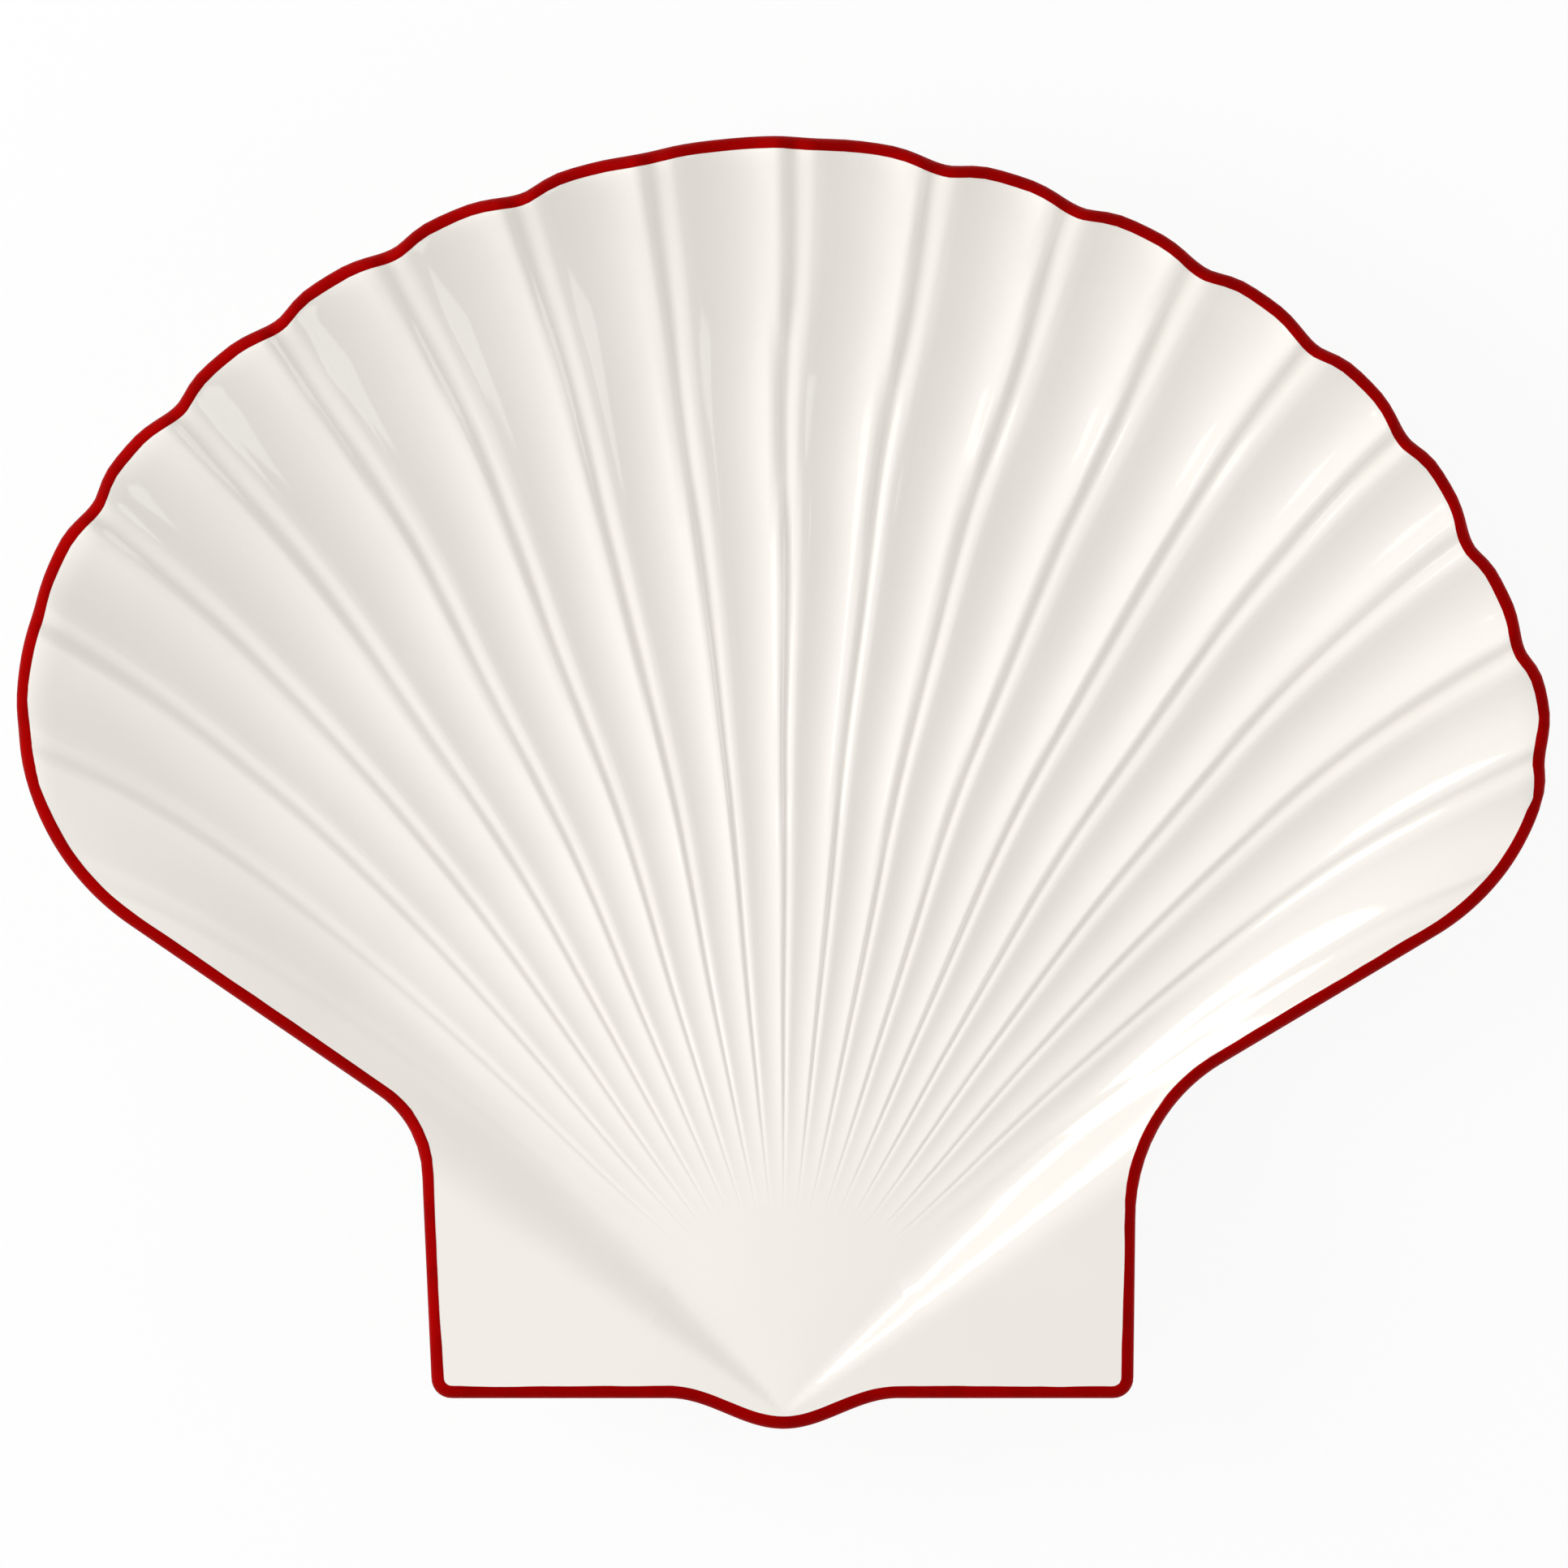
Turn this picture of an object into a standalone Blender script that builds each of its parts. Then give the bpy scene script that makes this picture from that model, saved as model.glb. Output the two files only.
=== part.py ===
"""Scallop-shaped serving plate in glazed earthenware, in metres with +Z up.

One moulded piece: a shallow bowl that opens like a fan from a small beak, with two flat ears
beside the beak.  The bowl carries round hollows, and between two hollows stands a ridge with a
narrow crease along its top.  The plan is a grid of columns, which follow the flutes from the
hinge line to the rim, and rows, which cross them.  The same grid gives the upper face and the
underside.  The left wing sits a little higher than the right one, as on the original.
The origin is the middle of the plan box, on the surface that the plate stands on.
"""
import math

import bmesh
import bpy

# Outline, seen from above: +X to the right, +Y from the beak towards the rim
PLATE_WIDTH = 0.2404
PLATE_LENGTH = 0.2028
BEAK_TO_WIDEST = 0.1094
LEFT_WING_RAISE = 0.0030
RIM_SQUARENESS = 1.80
CROWN_EASE = 0.0004
RIGHT_WING_EASE = 0.0006
RIGHT_WING_RADIUS = 0.0375
LEFT_WING_RADIUS = 0.0400
RIGHT_FLANK_ANGLE = math.radians(31.0)
LEFT_FLANK_ANGLE = math.radians(33.6)
RIGHT_ARMPIT_RADIUS = 0.028
LEFT_ARMPIT_RADIUS = 0.016
HINGE_WIDTH = 0.1116
EARS_SHIFT = 0.0007
EAR_CORNER_RADIUS = 0.0032
BEAK_REACH = 0.0048
BEAK_WIDTH = 0.036

# Section of the bowl
PLATE_HEIGHT = 0.025
WALL = 0.0042
FOOT_CLEARANCE = 0.0024
LIP_ROUND = 0.0017
BEAK_TO_BOWL_APEX = 0.0026
BOWL_HALF_ANGLE = math.radians(56.5)
WELL_HALF_ANGLE = math.radians(43.0)
SIDE_RISE = 0.30
THROAT_RUN = 0.095
THROAT_POWER = 1.25
WELL_SHARE = 0.25
RIM_RISE_POWER = 2.2
ROLL_START = 0.955
ROLL_DROP = 0.0014

# Fan of flutes, which spreads from a focus just above the beak
BEAK_TO_FOCUS = 0.0157
RIDGES_EACH_SIDE = 8
RIDGE_PITCH = math.radians(6.05)
CALM_RADIUS = 0.076
RIM_SPREAD = math.radians(1.0)
RIM_SPREAD_POWER = 1.6
THROAT_SPREAD = math.radians(0.60)
LEAN = math.radians(0.35)
FLUTE_DEPTH = 0.0021
CREASE_DEPTH = 0.0014
HOLLOW_POWER = 1.45
FLUTE_START = 0.028
FLUTE_FULL = 0.062
NOTCH_DEPTH = 0.0021
NOTCH_SHARPNESS = 1.9
LOBE_LEAN = 0.86
RIGHT_SHOULDER_CUT = 0.0021
LEFT_SHOULDER_SWELL = 0.0008
SHOULDER_PLACE = 6.3
SHOULDER_BREADTH = 1.05
SIDE_FADE_POWER = 8.0
UNDERSIDE_FLUTE_DEPTH = 0.0012

# Places across one pitch of the fan, as shares of the pitch
RIDGE_START = -0.05
RIDGE_END = 0.25
RIDGE_MIDDLE = 0.10
HOLLOW_PLACES = (0.425, 0.60, 0.775)
COLUMN_PLACES = (RIDGE_MIDDLE, RIDGE_END) + HOLLOW_PLACES + (1.0 + RIDGE_START,)

# Foot ring on the underside
FOOT_LENGTH = 0.088
FOOT_DEPTH = 0.070
BEAK_TO_FOOT = 0.094
FOOT_BAND = 0.0040
FOOT_DRAFT = 0.0010

# Layout of the grid
EDGE_COLUMNS = 7
THROAT_ROWS = 9
FAN_ROWS = 12
ROW_CROWDING = 0.5
FOOT_SEGMENTS = 48
THROAT_RADIUS = 0.030
HINGE_SHARE = 0.60
WING_CORNER_ANGLE = math.radians(-25.0)
LOW_BLEND_POWER = 4
HIGH_BLEND_POWER = 8
LIP_SHARES = (0.25, 0.75)
CURVE_STEPS = 24
HALVINGS = 40
SHARP_ANGLE = math.radians(50.0)

GLAZE_COLOUR = (0.80, 0.77, 0.71, 1.0)
GLAZE_ROUGHNESS = 0.12
ENAMEL_COLOUR = (0.32, 0.001, 0.001, 1.0)
ENAMEL_ROUGHNESS = 0.15

# Places worked out from the driving dimensions
HALF_WIDTH = PLATE_WIDTH / 2.0
BEAK_Y = -PLATE_LENGTH / 2.0
RIM_Y = PLATE_LENGTH / 2.0
WIDEST_Y = BEAK_Y + BEAK_TO_WIDEST
FOCUS_Y = BEAK_Y + BEAK_TO_FOCUS
APEX_Y = BEAK_Y + BEAK_TO_BOWL_APEX
HINGE_Y = BEAK_Y + BEAK_REACH
EAR_X = HINGE_WIDTH / 2.0
FOOT_Y = BEAK_Y + BEAK_TO_FOOT
BOWL_DEPTH = PLATE_HEIGHT - FOOT_CLEARANCE - WALL
LAST_FLUTE = RIDGES_EACH_SIDE + 0.5
CALM_FLUTE = LAST_FLUTE + 1.0
FAN_REACH = RIM_Y - FOCUS_Y


def ease(value):
    """Smooth step from 0 to 1, level at both ends."""
    value = min(max(value, 0.0), 1.0)
    return value * value * (3.0 - 2.0 * value)


def bell(value):
    """Round bump of height 1 and half-breadth 1."""
    return math.exp(-value * value)


def between(start, end, share):
    """Plan point between two others."""
    return start[0] + (end[0] - start[0]) * share, start[1] + (end[1] - start[1]) * share


def outward(radius):
    """0 within the calm radius, and 1 at the rim over the middle ridge."""
    return max(radius - CALM_RADIUS, 0.0) / (FAN_REACH - CALM_RADIUS)


def pitch_at(radius):
    """Angle from one ridge to the next, which widens towards the rim and in the throat."""
    inward = max(CALM_RADIUS - radius, 0.0) / CALM_RADIUS
    spread = RIM_SPREAD * outward(radius) ** RIM_SPREAD_POWER
    return RIDGE_PITCH + spread + THROAT_SPREAD * inward ** 2


def fan_point(flute, radius):
    """Plan point on a flute line, counted in pitches from the middle ridge."""
    angle = flute * pitch_at(radius) + LEAN * outward(radius)
    return radius * math.sin(angle), FOCUS_Y + radius * math.cos(angle)


def flute_at(x, y):
    """Flute number and distance from the focus of a plan point."""
    radius = math.hypot(x, y - FOCUS_Y)
    angle = math.atan2(x, y - FOCUS_Y) - LEAN * outward(radius)
    return angle / pitch_at(radius), radius


def widest_at(x):
    """Y where the outline is widest, which rises smoothly from the right to the left."""
    return WIDEST_Y + LEFT_WING_RAISE * ease((1.0 - x / HALF_WIDTH) / 2.0)


def half_width(side):
    """Half of the width on one side; the right one makes up for the notch at its widest place."""
    return HALF_WIDTH + (RIGHT_WING_EASE if side > 0.0 else 0.0)


def wing_size(side):
    """Radius of a wing's round end, and the X of its centre as if on the right."""
    radius = RIGHT_WING_RADIUS if side > 0.0 else LEFT_WING_RADIUS
    return radius, half_width(side) - radius


def rim_level(x, y):
    """0 at the middle of the bowl and 1 on the rim's smooth curve, for the fan's part."""
    widest = widest_at(x)
    across = abs(x) / half_width(x)
    along = max(y - widest, 0.0) / (RIM_Y + CROWN_EASE - widest)
    return across ** RIM_SQUARENESS + along ** RIM_SQUARENESS


def within_rim(x, y, inset):
    """Whether a plan point lies inside the rim's smooth curve, moved inwards by the inset."""
    widest = widest_at(x)
    if y >= widest:
        across = abs(x) / (half_width(x) - inset)
        along = (y - widest) / (RIM_Y + CROWN_EASE - widest - inset)
        return across ** RIM_SQUARENESS + along ** RIM_SQUARENESS <= 1.0
    wing, wing_x = wing_size(x)
    return abs(x) < wing_x or math.hypot(abs(x) - wing_x, y - widest) <= wing - inset


def notch_at(flute):
    """Depth of the scalloped rim below its smooth curve: soft notches between leaning lobes."""
    across = ((flute - RIDGE_MIDDLE) % 1.0) ** LOBE_LEAN
    notch = ((1.0 + math.cos(2.0 * math.pi * across)) / 2.0) ** NOTCH_SHARPNESS
    shoulder = bell((abs(flute) - SHOULDER_PLACE) / SHOULDER_BREADTH)
    lean = RIGHT_SHOULDER_CUT if flute > 0.0 else -LEFT_SHOULDER_SWELL
    return NOTCH_DEPTH * notch * side_fade(flute) + lean * shoulder


def side_fade(flute):
    """The ridges fade out only at the flanks."""
    return max(1.0 - (abs(flute) / CALM_FLUTE) ** SIDE_FADE_POWER, 0.0)


def rim_radius(flute, inset):
    """Distance from the focus to the rim along a flute line."""
    inner = THROAT_RADIUS
    outer = PLATE_WIDTH
    for _ in range(HALVINGS):
        middle = (inner + outer) / 2.0
        if within_rim(*fan_point(flute, middle), inset):
            inner = middle
        else:
            outer = middle
    return inner - notch_at(flute)


def hinge_point(x, inset):
    """Plan point on the hinge line, which bulges out into the beak in the middle."""
    bulge = 0.0
    if abs(x) < BEAK_WIDTH / 2.0:
        bulge = BEAK_REACH * math.cos(math.pi * x / BEAK_WIDTH) ** 2
    return x, HINGE_Y - bulge + inset


def arc(centre, radius, start, end):
    """Points along an arc, from the start angle to the end angle."""
    points = []
    for step in range(CURVE_STEPS + 1):
        angle = start + (end - start) * step / CURVE_STEPS
        points.append((centre[0] + radius * math.cos(angle), centre[1] + radius * math.sin(angle)))
    return points


def resample(points, shares):
    """Points at the given shares of a polyline's length."""
    lengths = [0.0]
    for first, second in zip(points, points[1:]):
        lengths.append(lengths[-1] + math.dist(first, second))
    result = []
    for share in shares:
        target = share * lengths[-1]
        index = 1
        while index < len(points) - 1 and lengths[index] < target:
            index += 1
        span = lengths[index] - lengths[index - 1]
        part = (target - lengths[index - 1]) / span if span else 0.0
        result.append(between(points[index - 1], points[index], part))
    return result


def side_curves(side, inset):
    """One side of the outline, as if it were the right one: ear edge, ear side and flank."""
    flank_angle = RIGHT_FLANK_ANGLE if side > 0.0 else LEFT_FLANK_ANGLE
    armpit = (RIGHT_ARMPIT_RADIUS if side > 0.0 else LEFT_ARMPIT_RADIUS) + inset
    ear_x = EAR_X - side * EARS_SHIFT - inset
    hinge_y = HINGE_Y + inset
    corner = EAR_CORNER_RADIUS - inset
    corner_centre = (ear_x - corner, hinge_y + corner)
    diagonal = -math.pi / 4.0
    wing, wing_x = wing_size(side)
    wing -= inset
    wing_centre = (wing_x, widest_at(side * HALF_WIDTH))
    flank_normal = flank_angle - math.pi / 2.0
    touch_x = wing_centre[0] + wing * math.cos(flank_normal)
    touch_y = wing_centre[1] + wing * math.sin(flank_normal)
    armpit_x = ear_x + armpit
    run = touch_x - armpit_x + armpit * math.cos(flank_normal)
    armpit_y = touch_y - run * math.tan(flank_angle) + armpit * math.sin(flank_normal)
    armpit_centre = (armpit_x, armpit_y)
    half_turn = math.pi - (math.pi / 2.0 - flank_angle) / 2.0
    ear_edge = [hinge_point(HINGE_SHARE * EAR_X, inset)]
    ear_edge += arc(corner_centre, corner, -math.pi / 2.0, diagonal)
    ear_side = arc(corner_centre, corner, diagonal, 0.0)
    ear_side += arc(armpit_centre, armpit, math.pi, half_turn)
    flank = arc(armpit_centre, armpit, half_turn, math.pi / 2.0 + flank_angle)
    flank += arc(wing_centre, wing, flank_normal, WING_CORNER_ANGLE)
    return ear_edge, ear_side, flank


def row_shares():
    """Shares of the way up a column at each row, the throat's rows first."""
    throat = [1.0 - math.cos(math.pi * row / (2.0 * THROAT_ROWS)) for row in range(THROAT_ROWS)]
    fan = []
    for row in range(FAN_ROWS + 1):
        share = row / FAN_ROWS
        fan.append(share * (1.0 + ROW_CROWDING * (1.0 - share)))
    return throat, fan


def fan_column(flute, inset):
    """Plan points of a column that follows a flute line, from the hinge line to the rim."""
    throat, fan = row_shares()
    start = hinge_point(flute / LAST_FLUTE * HINGE_SHARE * EAR_X, inset)
    joint = fan_point(flute, THROAT_RADIUS)
    points = [between(start, joint, share) for share in throat]
    reach = rim_radius(flute, inset) - THROAT_RADIUS
    points += [fan_point(flute, THROAT_RADIUS + reach * share) for share in fan]
    return points


def edge_columns(side, inset):
    """Columns from the last flute to one edge of the plan, worked out as if on the right."""
    throat, fan = row_shares()
    ear_edge, ear_side, flank = side_curves(side, inset)
    inner = [(side * x, y) for x, y in fan_column(side * LAST_FLUTE, inset)]
    outer = resample(ear_side, throat) + resample(flank, fan)
    shares = [math.sin(math.pi / 2.0 * step / EDGE_COLUMNS) for step in range(1, EDGE_COLUMNS + 1)]
    lower = resample(ear_edge, shares)
    wing, wing_x = wing_size(side)
    wing_centre = (wing_x, widest_at(side * HALF_WIDTH))
    rim_start = math.atan2(inner[-1][1] - wing_centre[1], inner[-1][0] - wing_x)
    upper = resample(arc(wing_centre, wing - inset, rim_start, WING_CORNER_ANGLE), shares)
    columns = []
    for share, low, high in zip(shares, lower, upper):
        low_place = between(inner[0], outer[0], share)
        high_place = between(inner[-1], outer[-1], share)
        column = []
        for row, (near, far) in enumerate(zip(inner, outer)):
            height = row / (len(inner) - 1)
            low_weight = (1.0 - height) ** LOW_BLEND_POWER
            high_weight = height ** HIGH_BLEND_POWER
            x, y = between(near, far, share)
            x += (low[0] - low_place[0]) * low_weight + (high[0] - high_place[0]) * high_weight
            y += (low[1] - low_place[1]) * low_weight + (high[1] - high_place[1]) * high_weight
            column.append((side * x, y))
        columns.append(column)
    return columns


def plan_grid(inset):
    """All columns from left to right, each a list of plan points from the hinge to the rim."""
    numbers = range(-RIDGES_EACH_SIDE - 1, RIDGES_EACH_SIDE + 1)
    flutes = [number + place for number in numbers for place in COLUMN_PLACES]
    flutes = [flute for flute in flutes if abs(flute) < LAST_FLUTE]
    flutes = [-LAST_FLUTE] + flutes + [LAST_FLUTE]
    left = edge_columns(-1.0, inset)
    right = edge_columns(1.0, inset)
    return left[::-1] + [fan_column(flute, inset) for flute in flutes] + right


def flute_relief(x, y):
    """Height that the flutes add to the bowl: a creased ridge, then a round hollow."""
    flute, radius = flute_at(x, y)
    place = (flute - RIDGE_START) % 1.0
    breadth = RIDGE_END - RIDGE_START
    relief = FLUTE_DEPTH * (radius / FAN_REACH) ** HOLLOW_POWER
    if place < breadth:
        crease = math.sin(math.pi * place / breadth) ** 2
        relief -= CREASE_DEPTH * crease * radius / FAN_REACH
    else:
        middle = (1.0 + breadth) / 2.0
        relief *= ((place - middle) / (1.0 - middle)) ** 2
    return relief * flute_strength(flute, radius)


def underside_relief(x, y):
    """The underside follows the flutes as round ribs."""
    flute, radius = flute_at(x, y)
    rib = (1.0 + math.cos(2.0 * math.pi * (flute - RIDGE_MIDDLE))) / 2.0
    depth = UNDERSIDE_FLUTE_DEPTH * (radius / FAN_REACH) ** HOLLOW_POWER
    return depth * rib * flute_strength(flute, radius)


def flute_strength(flute, radius):
    """Flutes fade out in the throat and at the flanks."""
    start = ease((radius - FLUTE_START) / (FLUTE_FULL - FLUTE_START))
    return start * side_fade(flute)


def bowl_height(x, y):
    """Height of the upper face without its flutes."""
    radius = math.hypot(x, y - APEX_Y)
    angle = abs(math.atan2(x, y - APEX_Y))
    side = ease((BOWL_HALF_ANGLE - angle) / (BOWL_HALF_ANGLE - WELL_HALF_ANGLE))
    side *= 1.0 - SIDE_RISE * (angle / BOWL_HALF_ANGLE) ** 2
    throat = 1.0 - (1.0 - min(radius / THROAT_RUN, 1.0)) ** THROAT_POWER
    level = rim_level(x, y) ** (1.0 / RIM_SQUARENESS)
    rise = max(level - WELL_SHARE, 0.0) / (1.0 - WELL_SHARE)
    wall = max(1.0 - rise ** RIM_RISE_POWER, 0.0)
    roll = max(level - ROLL_START, 0.0) / (1.0 - ROLL_START)
    return PLATE_HEIGHT - BOWL_DEPTH * side * throat * wall - ROLL_DROP * roll * roll


def upper_height(x, y):
    """Height of the upper face."""
    return bowl_height(x, y) + flute_relief(x, y)


def lower_height(x, y):
    """Height of the underside: the bowl, a wall's thickness below along its normal."""
    step = WALL
    slope_x = (bowl_height(x + step, y) - bowl_height(x - step, y)) / (2.0 * step)
    slope_y = (bowl_height(x, y + step) - bowl_height(x, y - step)) / (2.0 * step)
    drop = WALL * math.sqrt(1.0 + slope_x ** 2 + slope_y ** 2)
    return bowl_height(x, y) - drop + underside_relief(x, y)


def clear_scene():
    """Remove what a new file holds."""
    for item in list(bpy.data.objects):
        bpy.data.objects.remove(item, do_unlink=True)


def make_material(name, colour, roughness):
    """Glossy ceramic surface."""
    material = bpy.data.materials.new(name)
    material.use_nodes = True
    shader = material.node_tree.nodes["Principled BSDF"]
    shader.inputs["Base Color"].default_value = colour
    shader.inputs["Roughness"].default_value = roughness
    shader.inputs["Metallic"].default_value = 0.0
    return material


def ring_of(grid):
    """Indices (column, row) around the edge of the grid, anticlockwise from the lower left."""
    last_column = len(grid) - 1
    last_row = len(grid[0]) - 1
    ring = [(column, 0) for column in range(last_column)]
    ring += [(last_column, row) for row in range(last_row)]
    ring += [(column, last_row) for column in range(last_column, 0, -1)]
    ring += [(0, row) for row in range(last_row, 0, -1)]
    return ring


def add_sheet(mesh, grid, height, upward):
    """Add one face of the plate over the grid, and return its vertices."""
    rows = [[mesh.verts.new((x, y, height(x, y))) for x, y in column] for column in grid]
    for left, right in zip(rows, rows[1:]):
        for row in range(len(left) - 1):
            corners = [left[row], right[row], right[row + 1], left[row + 1]]
            mesh.faces.new(corners if upward else corners[::-1])
    return rows


def add_lip(mesh, upper, lower, outline):
    """Close the wall round the edge with a rounded lip."""
    ring = ring_of(outline)
    top = [upper[column][row] for column, row in ring]
    bottom = [lower[column][row] for column, row in ring]
    loops = [top]
    for share in LIP_SHARES:
        loop = []
        for (column, row), high, low in zip(ring, top, bottom):
            x, y = outline[column][row]
            loop.append(mesh.verts.new((x, y, high.co.z + (low.co.z - high.co.z) * share)))
        loops.append(loop)
    loops.append(bottom)
    for over, under in zip(loops, loops[1:]):
        for index in range(len(ring)):
            following = (index + 1) % len(ring)
            face = mesh.faces.new([over[following], over[index], under[index], under[following]])
            face.material_index = 1 if over is not loops[-2] else 0


def foot_ring():
    """Oval foot: flat below, sunk into the underside above."""
    mesh = bmesh.new()
    section = (
        (0.0, False),
        (FOOT_DRAFT, True),
        (-FOOT_BAND - FOOT_DRAFT, True),
        (-FOOT_BAND, False),
    )
    loops = []
    for offset, sunk in section:
        loop = []
        for step in range(FOOT_SEGMENTS):
            angle = 2.0 * math.pi * step / FOOT_SEGMENTS
            x = (FOOT_LENGTH / 2.0 + offset) * math.cos(angle)
            y = FOOT_Y + (FOOT_DEPTH / 2.0 + offset) * math.sin(angle)
            z = lower_height(x, y) + WALL / 2.0 if sunk else 0.0
            loop.append(mesh.verts.new((x, y, z)))
        loops.append(loop)
    for index, loop in enumerate(loops):
        inner = loops[(index + 1) % len(loops)]
        for step in range(FOOT_SEGMENTS):
            following = (step + 1) % FOOT_SEGMENTS
            mesh.faces.new([loop[step], loop[following], inner[following], inner[step]])
    return finish_object(mesh, "foot_shape")


def finish_object(mesh, name):
    """Turn a bmesh into an object of the scene."""
    bmesh.ops.recalc_face_normals(mesh, faces=mesh.faces)
    data = bpy.data.meshes.new(name)
    mesh.to_mesh(data)
    mesh.free()
    item = bpy.data.objects.new(name, data)
    bpy.context.collection.objects.link(item)
    return item


def build_plate():
    """The plate: upper face, underside and lip as one closed wall, with the foot joined on."""
    inner_grid = plan_grid(LIP_ROUND)
    outline = plan_grid(0.0)
    mesh = bmesh.new()
    upper = add_sheet(mesh, inner_grid, upper_height, True)
    lower = add_sheet(mesh, inner_grid, lower_height, False)
    add_lip(mesh, upper, lower, outline)
    plate = finish_object(mesh, "plate")
    plate.data.materials.append(make_material("glaze", GLAZE_COLOUR, GLAZE_ROUGHNESS))
    plate.data.materials.append(make_material("rim_enamel", ENAMEL_COLOUR, ENAMEL_ROUGHNESS))
    plate.data.shade_smooth()
    plate.data.set_sharp_from_angle(angle=SHARP_ANGLE)
    foot = foot_ring()
    foot.data.materials.append(plate.data.materials[0])
    foot.hide_render = True
    foot.display_type = "WIRE"
    join = plate.modifiers.new("foot_union", "BOOLEAN")
    join.operation = "UNION"
    join.object = foot
    return plate


clear_scene()
build_plate()
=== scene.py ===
"""Scallop-shaped serving plate in off-white glaze, with a dark red enamel line round its rim.

The imported model gives the plate's box.  One operator models
the glazed body as a fine sheet over a plan grid that follows the flutes, one joins the oval foot
to it, one measures where its enamel and creases lie, one gives it its glaze, and one sets the
studio.  Lengths are in metres, with +Z up out of the bowl and the beak towards -Y.
"""
import math

import bmesh
import bpy
from bpy.props import FloatProperty, FloatVectorProperty, IntProperty, PointerProperty
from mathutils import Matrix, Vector, kdtree, noise


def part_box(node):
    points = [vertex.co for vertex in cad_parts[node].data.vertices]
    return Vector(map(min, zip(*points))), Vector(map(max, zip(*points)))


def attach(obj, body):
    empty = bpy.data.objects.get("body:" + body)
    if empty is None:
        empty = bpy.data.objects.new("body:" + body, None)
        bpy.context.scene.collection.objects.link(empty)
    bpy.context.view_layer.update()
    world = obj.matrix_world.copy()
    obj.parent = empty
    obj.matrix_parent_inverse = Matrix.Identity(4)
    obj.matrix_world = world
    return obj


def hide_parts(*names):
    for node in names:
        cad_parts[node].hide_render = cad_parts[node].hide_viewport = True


bl_info = {
    "name": "Scallop Serving Plate",
    "version": (1, 0, 0),
    "blender": (4, 5, 0),
    "location": "View3D > Sidebar > Plate",
    "description": "Models, paints and lights a scallop-shaped serving plate",
    "category": "Add Mesh",
}

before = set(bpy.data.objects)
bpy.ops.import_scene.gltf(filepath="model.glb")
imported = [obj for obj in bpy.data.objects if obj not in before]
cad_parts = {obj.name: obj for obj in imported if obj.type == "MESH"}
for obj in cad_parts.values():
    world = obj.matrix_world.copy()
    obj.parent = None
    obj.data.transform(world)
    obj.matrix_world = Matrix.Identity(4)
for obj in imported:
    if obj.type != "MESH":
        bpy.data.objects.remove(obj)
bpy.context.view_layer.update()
LOWEST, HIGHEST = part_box("plate")

# Outline, seen from above, with what keeps its lobes within the solid's box
WITHIN_SOLID = 0.00034
RIM_BELOW_TOP = 0.0016
BEAK_TO_WIDEST = 0.1094
LEFT_WING_RAISE = 0.0030
RIM_SQUARENESS = 1.80
RIGHT_WING_EASE = 0.0005
RIGHT_WING_RADIUS = 0.0375
LEFT_WING_RADIUS = 0.0407
RIGHT_FLANK_ANGLE = math.radians(31.0)
LEFT_FLANK_ANGLE = math.radians(34.5)
RIGHT_ARMPIT_RADIUS = 0.028
LEFT_ARMPIT_RADIUS = 0.016
HINGE_WIDTH = 0.1116
EARS_SHIFT = 0.0007
EAR_CORNER_RADIUS = 0.0032
RIGHT_EAR_SLANT = 0.0003
LEFT_EAR_SLANT = 0.0014
BEAK_REACH = 0.0048
BEAK_WIDTH = 0.036

# Section of the bowl
FOOT_CLEARANCE = 0.0024
LIP_ROUND = 0.0017
BEAK_TO_BOWL_APEX = 0.0026
BOWL_HALF_ANGLE = math.radians(56.5)
WELL_HALF_ANGLE = math.radians(43.0)
SIDE_RISE = 0.30
THROAT_RUN = 0.095
THROAT_POWER = 1.25
WELL_SHARE = 0.25
RIM_RISE_POWER = 3.0
ROLL_START = 0.955
ROLL_DROP = 0.0014

# Fan of flutes, which spreads from a focus just above the beak
BEAK_TO_FOCUS = 0.0157
RIDGE_PITCH = math.radians(6.05)
CALM_RADIUS = 0.076
RIM_SPREAD = math.radians(1.0)
RIM_SPREAD_POWER = 1.6
THROAT_SPREAD = math.radians(0.60)
LEAN = math.radians(0.35)
FLUTE_START = 0.016
FLUTE_FULL = 0.042
HOLLOW_POWER = 1.45
NOTCH_DEPTH = 0.0014
NOTCH_SHARPNESS = 1.9
NOTCH_PLACE = 0.10
LOBE_LEAN = 0.86
CROWN_CALM = 0.90
CROWN_PLACE = -0.40
CROWN_BREADTH = 0.85
LEFT_CALM = 0.75
LEFT_CALM_START = -6.1
LEFT_CALM_FULL = -6.8
RIGHT_SHOULDER_CUT = 0.0021
LEFT_SHOULDER_SWELL = 0.0008
SHOULDER_PLACE = 6.3
SHOULDER_BREADTH = 1.05
SIDE_FADE_POWER = 8.0
UNDERSIDE_FLUTE_DEPTH = 0.0012

# Places across one pitch of the fan, as shares of the pitch
RIDGE_START = -0.06
RIDGE_END = 0.20
RIDGE_MIDDLE = 0.03
RIDGE_SOFTNESS = 0.018
SOFT_STEPS = (-1.0, -0.5, 0.0, 0.5, 1.0)
CREASE_LEAN = 0.62
CREASE_NARROWNESS = 4.0

# Layout of the fine grid
COLUMNS_PER_PITCH = 14
COLUMN_CROWDING = 0.6
CROWDED_PLACE = 0.03
EDGE_COLUMNS = 22
THROAT_ROWS = 26
FAN_ROWS = 84
ROW_CROWDING = 0.5
THROAT_RADIUS = 0.020
HINGE_SHARE = 0.45
WING_CORNER_ANGLE = math.radians(-25.0)
LOW_BLEND_POWER = 4
HIGH_BLEND_POWER = 8
LIP_STEPS = 8
CURVE_STEPS = 48
HALVINGS = 40
WELD = 0.000002

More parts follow.
